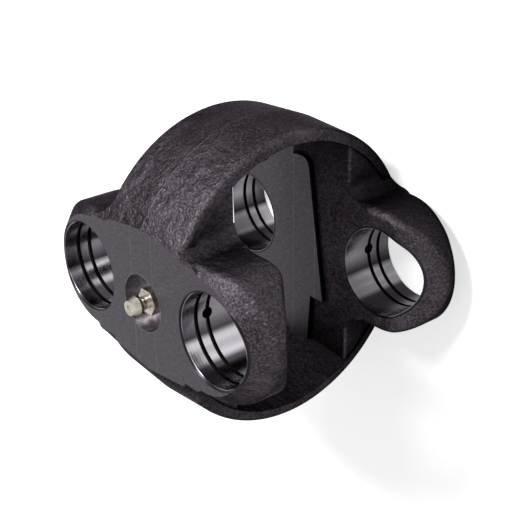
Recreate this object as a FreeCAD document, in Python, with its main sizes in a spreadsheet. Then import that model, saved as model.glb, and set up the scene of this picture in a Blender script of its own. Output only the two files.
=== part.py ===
import FreeCAD, Part
import Sketcher
import os
import math

# Centre yoke of a double-joint propeller shaft: one steel forging, milled and bored, with a grease
# fitting screwed into one side.
# Frame: X along the shaft, Y across it, Z along the four bearing bores.  The forging lies on the
# milled face of its lower side, Z = 0, and the grease fitting is in the upper side.

doc = FreeCAD.newDocument("centre_yoke")
sheet = doc.addObject("Spreadsheet::Sheet", "Sizes")

SIZES = [
    # bearing bores
    ("bore_radius", 15.1),          # bearing cup bore, 30.2 mm
    ("bore_spacing", 67.0),         # between the two bore axes of a side plate
    ("bore_chamfer", 0.6),          # at the outer mouth
    ("groove_width", 1.5),          # snap ring grooves
    ("groove_depth", 0.75),
    ("inner_groove", 34.9),         # groove centre, from the middle plane
    ("outer_groove", 39.3),
    ("channel_radius", 1.9),        # drilled grease channel between two bores
    # side plates
    ("half_width", 45.15),          # middle plane to a milled outer face
    ("half_gap", 23.9),             # middle plane to an inner face of the ears
    ("half_land", 22.6),            # middle plane to the raised land between the ears
    ("land_back", 8.6),             # land edge toward the rear ears
    ("land_front", 0.6),            # land edge toward the front ears, at its upper end
    ("land_corner", 8.6),           # the same at the corner near its foot
    ("land_foot", 2.4),             # the same below that corner
    ("land_top", 31.0),             # upper end of the land
    ("land_step", 20.4),            # level of the corner, below the shaft axis
    ("stock", 6.0),                 # depth of blank below the land, cut away by the side outline
    ("plate_half", 21.6),           # half the height of a plate
    ("plate_bevel", 2.2),           # 45 degree bevel along the milled face
    ("face_centre_front", 28.0),    # centre of an ear's conical end, along the shaft
    ("face_centre_rear", 29.2),
    ("nose_back", 14.3),            # from the ear's end back to where its inner face slopes
    ("nose_angle", 54.0),           # slope of the ear's inner face at its end
    ("knee_round", 8.0),            # where that slope starts
    ("plate_round", 2.7),           # rounding along a plate and round its ears
    ("hollow_front", 5.4),          # hollow between an ear and the ring's end face
    ("hollow_rear", 8.6),
    ("web_edge", 1.0),
    ("land_round", 3.8),
    ("web_half", 19.1),             # half length of the filled part inside the ring
    # ring
    ("ring_mid_radius", 51.4),      # at the parting line
    ("ring_rim_radius", 50.3),
    ("ring_half", 19.9),
    ("ring_bore_mid", 44.6),
    ("ring_bore_rim", 46.5),
    ("rim_round", 2.0),
    # grease fitting and its seat
    ("seat_along", -1.6),
    ("seat_across", -1.3),
    ("seat_radius", 9.7),
    ("seat_depth", 4.5),
    ("thread_radius", 3.0),
    ("thread_length", 3.6),
    ("hex_across", 8.0),
    ("hex_height", 3.0),
    ("neck_radius", 2.25),
    ("neck_height", 2.0),
    ("head_radius", 3.35),
    ("head_land", 1.0),
    ("head_cone", 2.7),
    ("tip_radius", 2.45),
    ("passage_radius", 1.3),
    ("port_radius", 0.9),
    ("tip_skin", 0.45),             # metal left at the port
    ("lip", 0.5),                   # at the foot of the passage
    ("lip_radius", 0.75),
    ("ball_radius", 1.15),
    ("spring_radius", 0.95),
    ("spring_wire", 0.16),
    ("spring_pitch", 0.8),
]
for row, (alias, value) in enumerate(SIZES, start=1):
    sheet.set("A%d" % row, alias)
    sheet.set("B%d" % row, str(value))
    sheet.setAlias("B%d" % row, alias)
doc.recompute()
S = {alias: float(sheet.get(alias)) for alias, value in SIZES}


def bind(obj, **rules):
    """Ties properties of an object to expressions over the sheet's cells."""
    for prop, rule in rules.items():
        for alias in sorted(S, key=len, reverse=True):
            rule = rule.replace("<%s>" % alias, "Sizes.%s" % alias)
        obj.setExpression(prop.replace("__", "."), rule)
    return obj


def at(x="0", y="0", z="0"):
    return {"Placement__Base__x": x, "Placement__Base__y": y, "Placement__Base__z": z}


def box(name, x, y, z, length, width, height):
    """A block from its least corner and its three sizes."""
    b = doc.addObject("Part::Box", name)
    return bind(b, Length=length, Width=width, Height=height, **at(x, y, z))


def cylinder(name, x, y, z, radius, height, along="z"):
    """A cylinder from the centre of its lower end, along Z or along X."""
    c = doc.addObject("Part::Cylinder", name)
    if along == "x":
        c.Placement.Rotation = FreeCAD.Rotation(FreeCAD.Vector(0, 1, 0), 90)
    return bind(c, Radius=radius, Height=height, **at(x, y, z))


def cone(name, x, y, z, radius1, radius2, height, along="z"):
    c = doc.addObject("Part::Cone", name)
    if along == "x":
        c.Placement.Rotation = FreeCAD.Rotation(FreeCAD.Vector(0, 1, 0), 90)
    return bind(c, Radius1=radius1, Radius2=radius2, Height=height, **at(x, y, z))


def join(name, pieces):
    f = doc.addObject("Part::MultiFuse", name)
    f.Shapes = pieces
    return f


def overlap(name, pieces):
    c = doc.addObject("Part::MultiCommon", name)
    c.Shapes = pieces
    return c


def cut(name, base, tool):
    c = doc.addObject("Part::Cut", name)
    c.Base, c.Tool = base, tool
    return c


def rounded(name, base, radius, wanted):
    """Rounds the edges of base that wanted(edge) picks out."""
    doc.recompute()
    f = doc.addObject("Part::Fillet", name)
    f.Base = base
    f.Edges = [(i, radius, radius) for i, e in enumerate(base.Shape.Edges, start=1) if wanted(e)]
    if not f.Edges:
        raise RuntimeError("no edges to round for " + name)
    doc.recompute()
    return f


def edge_box(e):
    b = e.BoundBox
    return b.XMin, b.XMax, b.YMin, b.YMax, b.ZMin, b.ZMax


MID = "<half_width>"
TOP = "2 * <half_width>"
SIDES = {"front": 1, "rear": -1}


def mirrored(name, piece):
    """The same piece on the lower side."""
    m = doc.addObject("Part::Mirroring", name)
    m.Source = piece
    m.Normal = FreeCAD.Vector(0, 0, 1)
    return bind(m, Base__z=MID)


def outline(name, turn, points):
    """A closed outline of straight lines; every corner's two distances come from the sheet."""
    sk = doc.addObject("Sketcher::SketchObject", name)
    sk.Placement.Rotation = turn
    count = len(points)
    spots = [FreeCAD.Vector(50 * math.cos(2 * math.pi * i / count), 50 * math.sin(2 * math.pi * i / count), 0)
             for i in range(count)]
    for i in range(count):
        sk.addGeometry(Part.LineSegment(spots[i], spots[(i + 1) % count]), False)
    for i in range(count):
        sk.addConstraint(Sketcher.Constraint("Coincident", i, 2, (i + 1) % count, 1))
    for i, (along, up) in enumerate(points):
        for kind, mark, rule, value in (("DistanceX", "a", along, spots[i].x), ("DistanceY", "b", up, spots[i].y)):
            number = sk.addConstraint(Sketcher.Constraint(kind, -1, 1, i, 1, value))
            sk.renameConstraint(number, "%s%d" % (mark, i))
            bind(sk, **{"Constraints__%s%d" % (mark, i): rule})
    return sk


def extruded(name, sketch, direction, start, length):
    """A sketch pushed along one axis from a start distance."""
    e = doc.addObject("Part::Extrusion", name)
    e.Base, e.Dir, e.DirMode, e.Solid = sketch, direction, "Custom", True
    return bind(e, LengthFwd=length, LengthRev=start)


ALONG_Y = FreeCAD.Rotation(FreeCAD.Vector(1, 0, 0), 90)
ACROSS_X = FreeCAD.Rotation(FreeCAD.Vector(0, 1, 0), FreeCAD.Vector(0, 0, 1), FreeCAD.Vector(1, 0, 0), "XYZ")
FLAT = FreeCAD.Rotation()

# Ring: two shallow cones that meet at the forging's parting line, bored out with the same draft.
shells, hollows = [], []
for side, sign in SIDES.items():
    start = "0" if sign > 0 else "-<ring_half>"
    mid_first = ("<ring_mid_radius>", "<ring_rim_radius>")
    bore_first = ("<ring_bore_mid>", "<ring_bore_rim>")
    shells.append(cone("ring_outside_" + side, start, "0", MID, *mid_first[::sign], "<ring_half>", along="x"))
    hollows.append(cone("ring_inside_" + side, start, "0", MID, *bore_first[::sign], "<ring_half>", along="x"))
ring_blank = join("ring_blank", shells)
ring_round = rounded("ring_round", ring_blank, S["rim_round"],
                     lambda e: abs(abs(e.CenterOfMass.x) - S["ring_half"]) < 0.01)
ring = cut("ring", ring_round, join("ring_inside", hollows))

# Side plate: a bar with two rounded ears, its outer edges bevelled at 45 degrees round the ears.
low = MID + " + <half_land> - <stock>"
depth = "<half_width> - <half_land> + <stock>"
slot = [box("plate_middle", "-<bore_spacing> / 2", "-<plate_half>", low, "<bore_spacing>", "2 * <plate_half>", depth)]
bevel = []
for side, sign in SIDES.items():
    place = "%d * <bore_spacing> / 2" % sign
    seam = FreeCAD.Rotation(FreeCAD.Vector(0, 0, 1), 180 if sign > 0 else 0)
    slot.append(cylinder("plate_end_" + side, place, "0", low, "<plate_half>", depth))
    slot[-1].Placement.Rotation = seam
    bevel.append(cone("bevel_end_" + side, "%d * <face_centre_%s>" % (sign, side), "0", low,
                      "<plate_half> - <plate_bevel> + " + depth, "<plate_half> - <plate_bevel>", depth))
    bevel[-1].Placement.Rotation = seam
wedge = outline("bevel_outline", ACROSS_X,
                [("-(<plate_half> - <plate_bevel>)", TOP), ("<plate_half> - <plate_bevel>", TOP),
                 ("<plate_half> - <plate_bevel> + " + depth, low), ("-(<plate_half> - <plate_bevel> + " + depth + ")", low)])
bevel.append(extruded("bevel_middle", wedge, FreeCAD.Vector(1, 0, 0), "<face_centre_rear>",
                      "<face_centre_front>"))

# Seen from the side, the inner face of an ear slopes away to a blunt nose.
knee = "<bore_spacing> / 2 + <plate_half> - <nose_back>"
nose = knee + " + (<half_width> - <half_gap>) * tan(<nose_angle> * 1 deg)"
side_view = outline("plate_side", ALONG_Y,
                    [(nose, TOP), (knee, MID + " + <half_gap>"), ("-(" + knee + ")", MID + " + <half_gap>"),
                     ("-(" + nose + ")", TOP)])
side_bar = extruded("plate_side_bar", side_view, FreeCAD.Vector(0, 1, 0), "2 * <plate_half>", "2 * <plate_half>")
bar = overlap("plate_bar", [join("plate_slot", slot), join("plate_bevel", bevel), side_bar])


def on_knee(e):
    x0, x1, y0, y1, z0, z1 = edge_box(e)
    return x1 - x0 < 0.01 and z1 - z0 < 0.01 and abs(z0 - S["half_width"] - S["half_gap"]) < 0.01



bar_knee = rounded("plate_knee", bar, S["knee_round"], on_knee)


def on_ridge(e):
    """Every ridge of the bar runs partly along the shaft; the top face stays sharp where it is milled."""
    x0, x1, y0, y1, z0, z1 = edge_box(e)
    return x1 - x0 > 0.01 and z0 < 2 * S["half_width"] - 0.01


bar_round = rounded("plate_edges", bar_knee, S["plate_round"], on_ridge)

# Inside the ring each plate is filled out to its inner face, with a raised land between the ears.
web_block = box("web_block", "-<web_half>", "-<ring_bore_rim>", MID + " + <half_gap>",
                "2 * <web_half>", "2 * <ring_bore_rim>", "<half_width> - <half_gap>")
web_round = rounded("web_edges", web_block, S["web_edge"],
                    lambda e: edge_box(e)[5] < S["half_width"] + S["half_gap"] + 0.01
                    and edge_box(e)[1] - edge_box(e)[0] < 0.01)
web = overlap("web", [web_round, cylinder("web_disc", "-<ring_half>", "0", MID, "<ring_bore_rim> + 1.5",
                                          "2 * <ring_half>", along="x")])
land_view = outline("land_outline", FLAT,
                    [("-<land_back>", "-<ring_bore_mid>"), ("<land_foot> / 4", "-<ring_bore_mid>"),
                     ("<land_foot>", "-<land_step>"), ("<land_corner>", "-<land_step>"),
                     ("<land_front>", "<land_top>"), ("-<land_back>", "<land_top>")])
land_bar = extruded("land_bar", land_view, FreeCAD.Vector(0, 0, 1), "-(" + MID + " + <half_land>)",
                    MID + " + <half_gap> + 1")
land_free = rounded("land_free", land_bar, S["land_round"],
               lambda e: edge_box(e)[5] - edge_box(e)[4] > 1 and edge_box(e)[2] > S["land_step"])
land = overlap("land", [land_free, cylinder("land_disc", "-<ring_half>", "0", MID, "<ring_bore_mid> + 1",
                                            "2 * <ring_half>", along="x")])

# A hollow at each corner between an ear and the ring's end face.
corners = []
for side, sign in SIDES.items():
    for edge, way in (("top", 1), ("foot", -1)):
        tag = side + "_" + edge
        centre, hollow = "<face_centre_%s>" % side, "<hollow_%s>" % side
        plan = [("<web_half> - 1", "<plate_half> - <stock>"), (centre, "<plate_half> - <stock>"),
                (centre, "<plate_half> - <plate_bevel>"), ("<web_half> + " + hollow, "<plate_half>"),
                ("<web_half> + " + hollow, "<plate_half> + " + hollow),
                ("<web_half> - 1", "<plate_half> + " + hollow)]
        plan = [("%d * (%s)" % (sign, along), "%d * (%s)" % (way, across)) for along, across in plan]
        block = extruded("corner_block_" + tag, outline("corner_plan_" + tag, FLAT, plan), FreeCAD.Vector(0, 0, 1),
                         "-(" + MID + " + <half_gap>)", TOP)
        scoop = cylinder("corner_scoop_" + tag, "%d * (<web_half> + %s)" % (sign, hollow),
                         "%d * (<plate_half> + %s)" % (way, hollow), MID, hollow, "<half_width>")
        corners.append(overlap("corner_" + tag, [
            cut("corner_cut_" + tag, block, scoop),
            cylinder("corner_disc_" + tag, "-2 * <web_half>", "0", MID, "<ring_rim_radius> - 0.6",
                     "4 * <web_half>", along="x")]))

upper = join("upper_side", [bar_round, web, land] + corners)
blank = join("forging", [ring, upper, mirrored("lower_side", upper)])
milled = overlap("milled", [blank, box("milled_width", "-2 * <bore_spacing>", "-2 * <bore_spacing>", "0",
                                       "4 * <bore_spacing>", "4 * <bore_spacing>", TOP)])

# Four bores, each with two snap ring grooves and a bevelled mouth, and a drilled channel on each side.
tools = []
for side, sign in SIDES.items():
    place = "%d * <bore_spacing> / 2" % sign
    tools.append(cylinder("bore_" + side, place, "0", "-1", "<bore_radius>", TOP + " + 2"))
    for level, way in (("upper", 1), ("lower", -1)):
        tag = side + "_" + level
        for which in ("inner_groove", "outer_groove"):
            tools.append(cylinder(which + "_" + tag, place, "0",
                                  MID + " + %d * <%s> - <groove_width> / 2" % (way, which),
                                  "<bore_radius> + <groove_depth>", "<groove_width>"))
        narrow, wide = "<bore_radius>", "<bore_radius> + <bore_chamfer>"
        foot = TOP + " - <bore_chamfer>" if way > 0 else "0"
        tools.append(cone("mouth_" + tag, place, "0", foot, *((narrow, wide)[::way]), "<bore_chamfer>"))
for level, way in (("upper", 1), ("lower", -1)):
    tools.append(cylinder("channel_" + level, "-<bore_spacing> / 2", "0", MID + " + %d * <inner_groove>" % way,
                          "<channel_radius>", "<bore_spacing>", along="x"))

# Round seat of the grease fitting, its threaded hole, and the way down to the channel.
FLOOR = TOP + " - <seat_depth>"
seat = ("<seat_along>", "<seat_across>")
tools.append(cylinder("seat", *seat, FLOOR, "<seat_radius>", "<seat_depth> + 1"))
tools.append(cylinder("threaded_hole", *seat, FLOOR + " - <thread_length>", "<thread_radius>",
                      "<thread_length> + 1"))
tools.append(cylinder("way_down", *seat, MID + " + <inner_groove>", "<passage_radius>",
                      "<half_width> - <seat_depth> - <inner_groove>"))
yoke = cut("yoke", milled, join("machining", tools))
yoke.Label = "yoke"

# Grease fitting: thread, hexagon, neck and a coned head, drilled through to a ball seat at the tip.
rise = FLOOR
parts = [cylinder("fitting_thread", *seat, rise + " - <thread_length>", "<thread_radius>", "<thread_length> + 1")]
hexagon = doc.addObject("Part::Prism", "fitting_hexagon")
hexagon.Polygon = 6
bind(hexagon, Circumradius="<hex_across> / 2 / cos(30 deg)", Height="<hex_height>", **at(*seat, rise))
parts.append(hexagon)
rise += " + <hex_height>"
parts.append(cylinder("fitting_neck", *seat, rise, "<neck_radius>", "<neck_height>"))
rise += " + <neck_height>"
parts.append(cone("fitting_flare", *seat, rise, "<neck_radius>", "<head_radius>", "<head_land>"))
rise += " + <head_land>"
parts.append(cylinder("fitting_head", *seat, rise, "<head_radius>", "<head_land>"))
rise += " + <head_land>"
parts.append(cone("fitting_nose", *seat, rise, "<head_radius>", "<tip_radius>", "<head_cone>"))
rise += " + <head_cone>"
solid = join("fitting_solid", parts)
below = FLOOR + " - <thread_length>"
drills = [cylinder("fitting_port", *seat, rise + " - 2 * <ball_radius>", "<port_radius>", "3 * <ball_radius>"),
          cylinder("fitting_passage", *seat, below + " + <lip>", "<passage_radius>",
                   "(" + rise + ") - (" + below + ") - <lip> - <tip_skin>"),
          cylinder("fitting_inlet", *seat, below + " - 1", "<lip_radius>", "2 + <lip>")]
fitting = cut("fitting", solid, join("fitting_drilling", drills))
fitting.Label = "grease_fitting"

# The ball closes the port from inside: it rests on the port's edge.
drop = "sqrt(<ball_radius> * <ball_radius> - <port_radius> * <port_radius>)"
ball = doc.addObject("Part::Sphere", "ball")
bind(ball, Radius="<ball_radius>", **at(*seat, rise + " - <tip_skin> - " + drop))
ball.Label = "fitting_ball"

# Coil spring between the ball and the lip at the foot of the passage.
helix = doc.addObject("Part::Helix", "spring_line")
base = below + " + <lip> + <spring_wire>"
bind(helix, Radius="<spring_radius>", Pitch="<spring_pitch>",
     Height="(" + rise + ") - <tip_skin> - " + drop + " - <ball_radius> - <spring_wire> - (" + base + ")",
     **at(*seat, base))
wire = doc.addObject("Part::Circle", "spring_wire")
wire.Placement.Rotation = FreeCAD.Rotation(FreeCAD.Vector(1, 0, 0), 90)
bind(wire, Radius="<spring_wire>", **at("<seat_along> + <spring_radius>", "<seat_across>", base))
spring = doc.addObject("Part::Sweep", "spring")
spring.Sections, spring.Spine, spring.Solid, spring.Frenet = [wire], (helix, []), True, True
spring.Label = "fitting_spring"

doc.recompute()
PIECES = [yoke, fitting, ball, spring]
for o in doc.Objects:
    if "Invalid" in o.State or "Error" in o.State:
        raise RuntimeError("failed: %s %s" % (o.Name, o.State))
for o in PIECES:
    if o.Shape.isNull() or not o.Shape.isValid() or len(o.Shape.Solids) != 1:
        raise RuntimeError("bad shape: " + o.Label)
os.makedirs("parts", exist_ok=True)
for o in PIECES:
    o.Shape.exportStep("parts/%s.step" % o.Label)
    b = o.Shape.BoundBox
    print("%-16s volume %9.1f mm3  X %.2f..%.2f  Y %.2f..%.2f  Z %.2f..%.2f"
          % (o.Label, o.Shape.Volume, b.XMin, b.XMax, b.YMin, b.YMax, b.ZMin, b.ZMax))
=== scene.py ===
"""Centre yoke of a double-jointed propeller shaft, with the grease fitting in its side plate."""
import math
import bpy
from mathutils import Matrix, Vector


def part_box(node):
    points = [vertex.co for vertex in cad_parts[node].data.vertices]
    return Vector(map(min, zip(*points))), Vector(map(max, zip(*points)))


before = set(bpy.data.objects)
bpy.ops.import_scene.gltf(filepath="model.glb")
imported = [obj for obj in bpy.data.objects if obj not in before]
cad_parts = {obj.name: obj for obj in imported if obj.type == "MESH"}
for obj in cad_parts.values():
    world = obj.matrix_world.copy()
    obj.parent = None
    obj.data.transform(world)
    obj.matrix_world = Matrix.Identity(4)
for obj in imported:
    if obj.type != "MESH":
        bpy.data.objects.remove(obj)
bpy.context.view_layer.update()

# ---------------------------------------------------------------------------------------------
# The yoke: one drop forging in carbon steel. Shot blasting leaves its skin dark and pitted. Only
# the flats, the spot faces and the bearing bores are cut, so they alone show bright metal.
# ---------------------------------------------------------------------------------------------
yoke_low, yoke_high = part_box("yoke")
mid_height = (yoke_low[2] + yoke_high[2]) / 2
bore_along = 0.0335
bore_reach = 0.01595
seat_place = (-0.0016, -0.0013)
seat_reach = 0.00985


def colour(code):
    """sRGB hex code to linear red, green, blue, alpha: each channel over 255, through the sRGB curve."""
    parts = [int(code[i:i + 2], 16) / 255 for i in (1, 3, 5)]
    return tuple(p / 12.92 if p <= 0.04045 else ((p + 0.055) / 1.055) ** 2.4 for p in parts) + (1.0,)


def add(tree, kind, inputs=None, ramp=None, **settings):
    """Adds one node: settings are its properties, inputs its sockets by name or number, given as a value
    or as another node's output to link, and ramp its colour stops as pairs of position and colour."""
    made = tree.nodes.new(kind)
    for name, value in settings.items():
        setattr(made, name, value)
    for name, value in (inputs or {}).items():
        if isinstance(value, bpy.types.NodeSocket):
            tree.links.new(value, made.inputs[name])
        else:
            made.inputs[name].default_value = value
    if ramp:
        stops = made.color_ramp.elements
        while len(stops) < len(ramp):
            stops.new(0.5)
        for stop, (place, code) in zip(stops, ramp):
            stop.position = place
            stop.color = colour(code)
    return made


forged = bpy.data.materials.new("forged_carbon_steel")
forged.use_nodes = True
tree = forged.node_tree
tree.nodes.clear()
place = add(tree, "ShaderNodeTexCoord").outputs["Object"]
axes = add(tree, "ShaderNodeSeparateXYZ", {0: place}).outputs
facing = add(tree, "ShaderNodeSeparateXYZ", {0: add(tree, "ShaderNodeNewGeometry").outputs["Normal"]}).outputs

# distance from the nearer bearing axis, and from the fitting's axis
beside = add(tree, "ShaderNodeMath", {0: axes[0]}, operation="ABSOLUTE").outputs[0]
beside = add(tree, "ShaderNodeMath", {0: beside, 1: bore_along}, operation="SUBTRACT").outputs[0]
flat_place = add(tree, "ShaderNodeCombineXYZ", {0: beside, 1: axes[1]}).outputs[0]
bore_away = add(tree, "ShaderNodeVectorMath", {0: flat_place}, operation="LENGTH").outputs["Value"]
flat_place = add(tree, "ShaderNodeCombineXYZ", {0: axes[0], 1: axes[1]}).outputs[0]
seat_away = add(tree, "ShaderNodeVectorMath", {0: flat_place, 1: seat_place + (0.0,)}, operation="DISTANCE").outputs["Value"]
level = add(tree, "ShaderNodeMath", {0: axes[2], 1: mid_height}, operation="SUBTRACT").outputs[0]
level = add(tree, "ShaderNodeMath", {0: level}, operation="ABSOLUTE").outputs[0]
upright = add(tree, "ShaderNodeMath", {0: facing[2]}, operation="ABSOLUTE").outputs[0]
upright = add(tree, "ShaderNodeMapRange", {0: upright, 1: 0.97, 2: 0.995}).outputs[0]

in_bore = add(tree, "ShaderNodeMapRange", {0: bore_away, 1: 0.01525, 2: 0.01518}).outputs[0]
# grooves and the inner part of each chamfer, from the bore wall out to 15.95 mm round the bore axis, take a plain dark
# finish
in_groove_and_chamfer = add(tree, "ShaderNodeMapRange", {0: bore_away, 1: bore_reach, 2: bore_reach - 0.0001}).outputs[0]
in_seat = add(tree, "ShaderNodeMapRange", {0: seat_away, 1: seat_reach, 2: seat_reach - 0.0001}).outputs[0]
above = add(tree, "ShaderNodeMath", {0: axes[2], 1: 0.080}, operation="GREATER_THAN").outputs[0]
in_seat = add(tree, "ShaderNodeMath", {0: in_seat, 1: above}, operation="MULTIPLY").outputs[0]
outer_cut = add(tree, "ShaderNodeMapRange", {0: level, 1: mid_height - 0.00025, 2: mid_height - 0.0001}).outputs[0]
land_cut = add(tree, "ShaderNodeMath", {0: level, 1: 0.0226, 2: 0.00015}, operation="COMPARE").outputs[0]
spot_cut = add(tree, "ShaderNodeMath", {0: level, 1: 0.0239, 2: 0.00015}, operation="COMPARE").outputs[0]
behind = add(tree, "ShaderNodeMath", {0: axes[0], 1: -0.0083}, operation="LESS_THAN").outputs[0]
spot_cut = add(tree, "ShaderNodeMath", {0: spot_cut, 1: behind}, operation="MULTIPLY").outputs[0]
inner_cut = add(tree, "ShaderNodeMath", {0: land_cut, 1: spot_cut}, operation="MAXIMUM").outputs[0]
flat_cut = add(tree, "ShaderNodeMath", {0: outer_cut, 1: inner_cut}, operation="MAXIMUM").outputs[0]
flat_cut = add(tree, "ShaderNodeMath", {0: flat_cut, 1: upright}, operation="MULTIPLY").outputs[0]

# forged skin: scale pits and blast grit, 0.4 to 2 mm across
pits = add(tree, "ShaderNodeTexNoise", {"Vector": place, "Scale": 1300.0, "Detail": 3.0, "Roughness": 0.7}).outputs[0]
dents = add(tree, "ShaderNodeTexNoise", {"Vector": place, "Scale": 420.0, "Detail": 2.0, "Roughness": 0.5}).outputs[0]
swell = add(tree, "ShaderNodeTexNoise", {"Vector": place, "Scale": 110.0, "Detail": 2.0, "Roughness": 0.5}).outputs[0]
skin_tone = add(tree, "ShaderNodeValToRGB", {0: swell},
                ramp=((0.3, "#292429"), (0.55, "#343035"), (0.75, "#423c42"))).outputs[0]
fleck = add(tree, "ShaderNodeMapRange", {0: pits, 1: 0.42, 2: 0.8}).outputs[0]
skin_tone = add(tree, "ShaderNodeMix", {0: fleck, 6: skin_tone, 7: colour("#5e575d")}, data_type="RGBA").outputs[2]
# parting line of the dies round the ring, a flash trimmed to a lighter seam 0.4 mm wide
round_ring = add(tree, "ShaderNodeCombineXYZ", {1: axes[1], 2: add(tree, "ShaderNodeMath", {0: axes[2], 1: mid_height},
                                                                   operation="SUBTRACT").outputs[0]}).outputs[0]
out_far = add(tree, "ShaderNodeVectorMath", {0: round_ring}, operation="LENGTH").outputs["Value"]
out_far = add(tree, "ShaderNodeMath", {0: out_far, 1: 0.0485}, operation="GREATER_THAN").outputs[0]
seam = add(tree, "ShaderNodeMath", {0: axes[0]}, operation="ABSOLUTE").outputs[0]
seam = add(tree, "ShaderNodeMapRange", {0: seam, 1: 0.0004, 2: 0.0001}).outputs[0]
seam = add(tree, "ShaderNodeMath", {0: seam, 1: out_far}, operation="MULTIPLY").outputs[0]
seam = add(tree, "ShaderNodeMath", {0: seam, 1: dents}, operation="MULTIPLY").outputs[0]
skin_tone = add(tree, "ShaderNodeMix", {0: seam, 6: skin_tone, 7: colour("#5f585e")}, data_type="RGBA").outputs[2]
# painted shade: ambient occlusion darkens the skin towards near black in sheltered corners and all through the inside
# of the ring
painted_shade_openness = add(tree, "ShaderNodeAmbientOcclusion", {"Distance": 0.04}, samples=8).outputs["AO"]
painted_shade_openness = add(tree, "ShaderNodeMapRange", {0: painted_shade_openness, 1: 0.5, 2: 1.0}).outputs[0]
skin_tone = add(tree, "ShaderNodeMix", {0: painted_shade_openness, 6: colour("#131013"), 7: skin_tone}, data_type="RGBA").outputs[2]
skin_bump = add(tree, "ShaderNodeBump", {"Strength": 0.7, "Distance": 0.0005, "Height": pits}).outputs[0]
skin_bump = add(tree, "ShaderNodeBump", {"Strength": 0.6, "Distance": 0.0009, "Height": dents, "Normal": skin_bump}).outputs[0]
skin_bump = add(tree, "ShaderNodeBump", {"Strength": 0.5, "Distance": 0.002, "Height": swell, "Normal": skin_bump}).outputs[0]
skin_rough = add(tree, "ShaderNodeMapRange", {0: pits, 1: 0.3, 2: 0.7, 3: 0.50, 4: 0.30}).outputs[0]
skin = add(tree, "ShaderNodeBsdfPrincipled", {"Base Color": skin_tone, "Metallic": 0.95, "Roughness": skin_rough,
                                              "Specular Tint": colour("#8c858b"),
                                              "Normal": skin_bump}).outputs[0]

# milled and broached flats: fine lines left by the cutter, 0.5 mm apart
lines = add(tree, "ShaderNodeTexNoise", {"Vector": add(tree, "ShaderNodeMapping", {"Vector": place, "Scale": (500.0, 1800.0, 1.0)}).outputs[0],
                                         "Scale": 1.0, "Detail": 3.0, "Roughness": 0.6}).outputs[0]
flat_tone = add(tree, "ShaderNodeValToRGB", {0: lines},
                ramp=((0.25, "#343036"), (0.5, "#443f46"), (0.75, "#57525a"))).outputs[0]
# edges of the cutter's passes, left as hair lines across the flats
for line in (-0.0066, 0.0045):
    edge = add(tree, "ShaderNodeMath", {0: axes[0], 1: line, 2: 0.00015}, operation="COMPARE").outputs[0]
    edge = add(tree, "ShaderNodeMath", {0: edge, 1: dents}, operation="MULTIPLY").outputs[0]
    flat_tone = add(tree, "ShaderNodeMix", {0: edge, 6: flat_tone, 7: colour("#6a656d")}, data_type="RGBA").outputs[2]
flat_bump = add(tree, "ShaderNodeBump", {"Strength": 0.35, "Distance": 0.0002, "Height": lines}).outputs[0]
flat = add(tree, "ShaderNodeBsdfPrincipled", {"Base Color": flat_tone, "Metallic": 0.8, "Roughness": 0.42,
                                              "Normal": flat_bump}).outputs[0]

# ground bores: rings left by the hone; the grooves and the inner part of the chamfers get a plain dark finish
rings = add(tree, "ShaderNodeTexNoise", {"Vector": add(tree, "ShaderNodeMapping", {"Vector": place, "Scale": (30.0, 30.0, 3000.0)}).outputs[0],
                                         "Scale": 1.0, "Detail": 2.0}).outputs[0]
bore_rough = add(tree, "ShaderNodeMapRange", {0: rings, 1: 0.3, 2: 0.7, 3: 0.14, 4: 0.26}).outputs[0]
bore_bump = add(tree, "ShaderNodeBump", {"Strength": 0.1, "Distance": 0.0001, "Height": rings}).outputs[0]
# painted reflection: bands along the bore, light and dark by the angle round its axis, stand in for the studio
# reflected in the ground bore
side = add(tree, "ShaderNodeMath", {0: axes[0]}, operation="SIGN").outputs[0]
side = add(tree, "ShaderNodeMath", {0: side, 1: bore_along}, operation="MULTIPLY").outputs[0]
off_axis = add(tree, "ShaderNodeMath", {0: axes[0], 1: side}, operation="SUBTRACT").outputs[0]
turn = add(tree, "ShaderNodeMath", {0: axes[1], 1: off_axis}, operation="ARCTAN2").outputs[0]
turn = add(tree, "ShaderNodeMapRange", {0: turn, 1: -math.pi, 2: math.pi}).outputs[0]
painted_reflection_bands = add(tree, "ShaderNodeValToRGB", {0: turn},
            ramp=((0.0, "#8f8a90"), (0.045, "#5a555c"), (0.065, "#2b282e"), (0.085, "#d2ced3"), (0.15, "#c3bfc5"),
                  (0.17, "#47424a"), (0.24, "#2c292f"), (0.30, "#a9a5ab"), (0.5, "#38343b"), (0.62, "#b7b3b9"),
                  (0.7, "#3a363d"), (0.8, "#cfcbd0"), (0.9, "#86818a"), (1.0, "#8f8a90"))).outputs[0]
streaks = add(tree, "ShaderNodeTexNoise", {"Vector": add(tree, "ShaderNodeMapping", {"Vector": place, "Scale": (260.0, 260.0, 12.0)}).outputs[0],
                                           "Scale": 1.0, "Detail": 3.0}).outputs[0]
streaks = add(tree, "ShaderNodeMapRange", {0: streaks, 1: 0.35, 2: 0.65, 3: 0.0, 4: 0.35}).outputs[0]
painted_reflection_bands = add(tree, "ShaderNodeMix", {0: streaks, 6: painted_reflection_bands, 7: colour("#59545b")}, data_type="RGBA").outputs[2]
bore = add(tree, "ShaderNodeBsdfPrincipled", {"Base Color": painted_reflection_bands, "Metallic": 1.0, "Roughness": bore_rough,
                                              "Normal": bore_bump}).outputs[0]
seat_tone = add(tree, "ShaderNodeValToRGB", {0: dents}, ramp=((0.3, "#6f6a6d"), (0.7, "#989396"))).outputs[0]
seat = add(tree, "ShaderNodeBsdfPrincipled", {"Base Color": seat_tone, "Metallic": 1.0, "Roughness": 0.3,
                                              "Normal": bore_bump}).outputs[0]
groove_and_chamfer_dark = add(tree, "ShaderNodeBsdfPrincipled", {"Base Color": colour("#1d1b1e"), "Metallic": 0.9, "Roughness": 0.3}).outputs[0]
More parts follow.
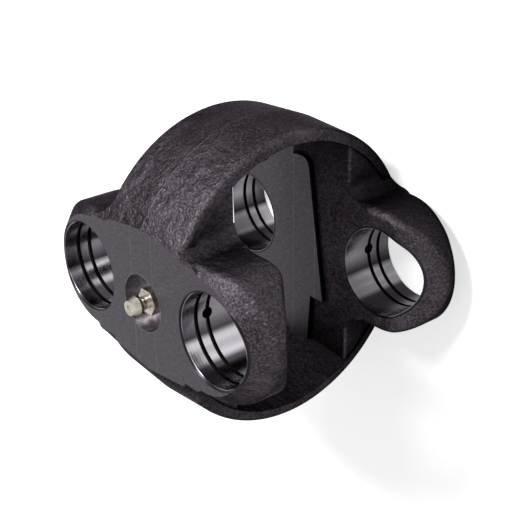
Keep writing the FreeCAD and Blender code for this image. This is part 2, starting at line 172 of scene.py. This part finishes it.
finish = add(tree, "ShaderNodeMixShader", {0: flat_cut, 1: skin, 2: flat}).outputs[0]
finish = add(tree, "ShaderNodeMixShader", {0: in_groove_and_chamfer, 1: finish, 2: groove_and_chamfer_dark}).outputs[0]
finish = add(tree, "ShaderNodeMixShader", {0: in_seat, 1: finish, 2: seat}).outputs[0]
finish = add(tree, "ShaderNodeMixShader", {0: in_bore, 1: finish, 2: bore}).outputs[0]
add(tree, "ShaderNodeOutputMaterial", {"Surface": finish})
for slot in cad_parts["yoke"].material_slots:
    slot.material = forged

# ---------------------------------------------------------------------------------------------
# The grease fitting: turned from free-cutting steel, bright nickel plated, screwed
# into its seat by the hexagon. A steel ball on a wire spring closes its mouth.
# ---------------------------------------------------------------------------------------------
plated = bpy.data.materials.new("nickel_plated_steel")
plated.use_nodes = True
tree = plated.node_tree
tree.nodes.clear()
place = add(tree, "ShaderNodeTexCoord").outputs["Object"]
haze = add(tree, "ShaderNodeTexNoise", {"Vector": place, "Scale": 500.0, "Detail": 3.0}).outputs[0]
tone = add(tree, "ShaderNodeValToRGB", {0: haze}, ramp=((0.3, "#9d948a"), (0.5, "#bdb6ab"), (0.7, "#d5d1ca"))).outputs[0]
rough = add(tree, "ShaderNodeMapRange", {0: haze, 1: 0.3, 2: 0.7, 3: 0.22, 4: 0.36}).outputs[0]
bump = add(tree, "ShaderNodeBump", {"Strength": 0.15, "Distance": 0.0001, "Height": haze}).outputs[0]
metal = add(tree, "ShaderNodeBsdfPrincipled", {"Base Color": tone, "Metallic": 1.0, "Roughness": rough, "Normal": bump}).outputs[0]
add(tree, "ShaderNodeOutputMaterial", {"Surface": metal})
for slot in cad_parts["grease_fitting"].material_slots:
    slot.material = plated

hardened = bpy.data.materials.new("hardened_bearing_steel")
hardened.use_nodes = True
tree = hardened.node_tree
tree.nodes.clear()
place = add(tree, "ShaderNodeTexCoord").outputs["Object"]
wear = add(tree, "ShaderNodeTexNoise", {"Vector": place, "Scale": 2500.0, "Detail": 2.0}).outputs[0]
tone = add(tree, "ShaderNodeValToRGB", {0: wear}, ramp=((0.3, "#9d9ca0"), (0.7, "#cfced2"))).outputs[0]
rough = add(tree, "ShaderNodeMapRange", {0: wear, 1: 0.3, 2: 0.7, 3: 0.1, 4: 0.2}).outputs[0]
metal = add(tree, "ShaderNodeBsdfPrincipled", {"Base Color": tone, "Metallic": 1.0, "Roughness": rough}).outputs[0]
add(tree, "ShaderNodeOutputMaterial", {"Surface": metal})
for name in ("fitting_ball", "fitting_spring"):
    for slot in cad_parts[name].material_slots:
        slot.material = hardened

# ---------------------------------------------------------------------------------------------
# Camera: long lens, above the yoke on its fitting side, rolled so that the shaft's axis runs
# down to the right.
# ---------------------------------------------------------------------------------------------
view_place = Vector((0.26229, 0.16522, 0.26185))
view_ahead = Vector((-0.68903, -0.43726, -0.57796)).normalized()
view_up = Vector((-0.32934, 0.8993, -0.28774)).normalized()
view_right = view_ahead.cross(view_up).normalized()
view_up = view_right.cross(view_ahead)
lens = bpy.data.cameras.new("camera")
lens.lens = 77.919
lens.sensor_width = 36.0
lens.shift_x = -0.00682
lens.shift_y = 0.00105
lens.clip_start = 0.01
camera = bpy.data.objects.new("camera", lens)
camera.matrix_world = Matrix.Translation(view_place) @ Matrix((view_right, view_up, -view_ahead)).transposed().to_4x4()
bpy.context.scene.collection.objects.link(camera)
bpy.context.scene.camera = camera

# ---------------------------------------------------------------------------------------------
# Studio: one large soft lamp from the upper left, a low fill, and a pale floor that the lens
# and polished metal see as white, with the yoke's shadow on it.
# ---------------------------------------------------------------------------------------------
target = Vector((0.0, 0.0, mid_height))
for name, aim, far, size, power in (("key_lamp", (-0.10, 0.66, 0.74), 0.7, 0.2, 5.5),
                                    ("fill_lamp", (0.75, -0.25, 0.60), 0.9, 0.6, 0.8)):
    lamp = bpy.data.lights.new(name, "AREA")
    lamp.shape = "DISK"
    lamp.size = size
    lamp.energy = power
    stand = bpy.data.objects.new(name, lamp)
    aim = Vector(aim).normalized()
    stand.matrix_world = Matrix.Translation(target + aim * far) @ aim.to_track_quat("Z", "Y").to_matrix().to_4x4()
    bpy.context.scene.collection.objects.link(stand)

sheet = bpy.data.meshes.new("floor")
sheet.from_pydata([(-3, -3, 0), (3, -3, 0), (3, 3, 0), (-3, 3, 0)], [], [(0, 1, 2, 3)])
floor = bpy.data.objects.new("floor", sheet)
bpy.context.scene.collection.objects.link(floor)
paper = bpy.data.materials.new("white_paper")
paper.use_nodes = True
tree = paper.node_tree
tree.nodes.clear()
seen = add(tree, "ShaderNodeLightPath").outputs
direct = add(tree, "ShaderNodeMath", {0: seen["Is Camera Ray"], 1: seen["Is Glossy Ray"]}, operation="MAXIMUM").outputs[0]
direct = add(tree, "ShaderNodeMath", {0: direct, 1: seen["Is Transmission Ray"]}, operation="MAXIMUM").outputs[0]
glow = add(tree, "ShaderNodeMapRange", {0: seen["Is Camera Ray"], 3: 0.2, 4: 0.6}).outputs[0]
glow = add(tree, "ShaderNodeMath", {0: direct, 1: glow}, operation="MULTIPLY").outputs[0]
grain = add(tree, "ShaderNodeTexNoise", {"Vector": add(tree, "ShaderNodeTexCoord").outputs["Object"], "Scale": 300.0}).outputs[0]
tint = add(tree, "ShaderNodeValToRGB", {0: grain}, ramp=((0.3, "#e2e2e3"), (0.7, "#e8e8e8"))).outputs[0]
matt = add(tree, "ShaderNodeBsdfDiffuse", {"Color": tint}).outputs[0]
lit = add(tree, "ShaderNodeEmission", {"Color": (1.0, 1.0, 1.0, 1.0), "Strength": glow}).outputs[0]
both = add(tree, "ShaderNodeAddShader", {0: matt, 1: lit}).outputs[0]
add(tree, "ShaderNodeOutputMaterial", {"Surface": both})
sheet.materials.append(paper)

world = bpy.data.worlds.new("studio")
bpy.context.scene.world = world
world.use_nodes = True
tree = world.node_tree
tree.nodes.clear()
seen = add(tree, "ShaderNodeLightPath").outputs
direct = add(tree, "ShaderNodeMath", {0: seen["Is Camera Ray"], 1: seen["Is Glossy Ray"]}, operation="MAXIMUM").outputs[0]
direct = add(tree, "ShaderNodeMath", {0: direct, 1: seen["Is Transmission Ray"]}, operation="MAXIMUM").outputs[0]
strength = add(tree, "ShaderNodeMapRange", {0: direct, 3: 0.35, 4: 1.0}).outputs[0]
sky = add(tree, "ShaderNodeBackground", {"Color": (1.0, 1.0, 1.0, 1.0), "Strength": strength}).outputs[0]
add(tree, "ShaderNodeOutputWorld", {"Surface": sky})

bpy.context.scene.view_settings.view_transform = "Standard"
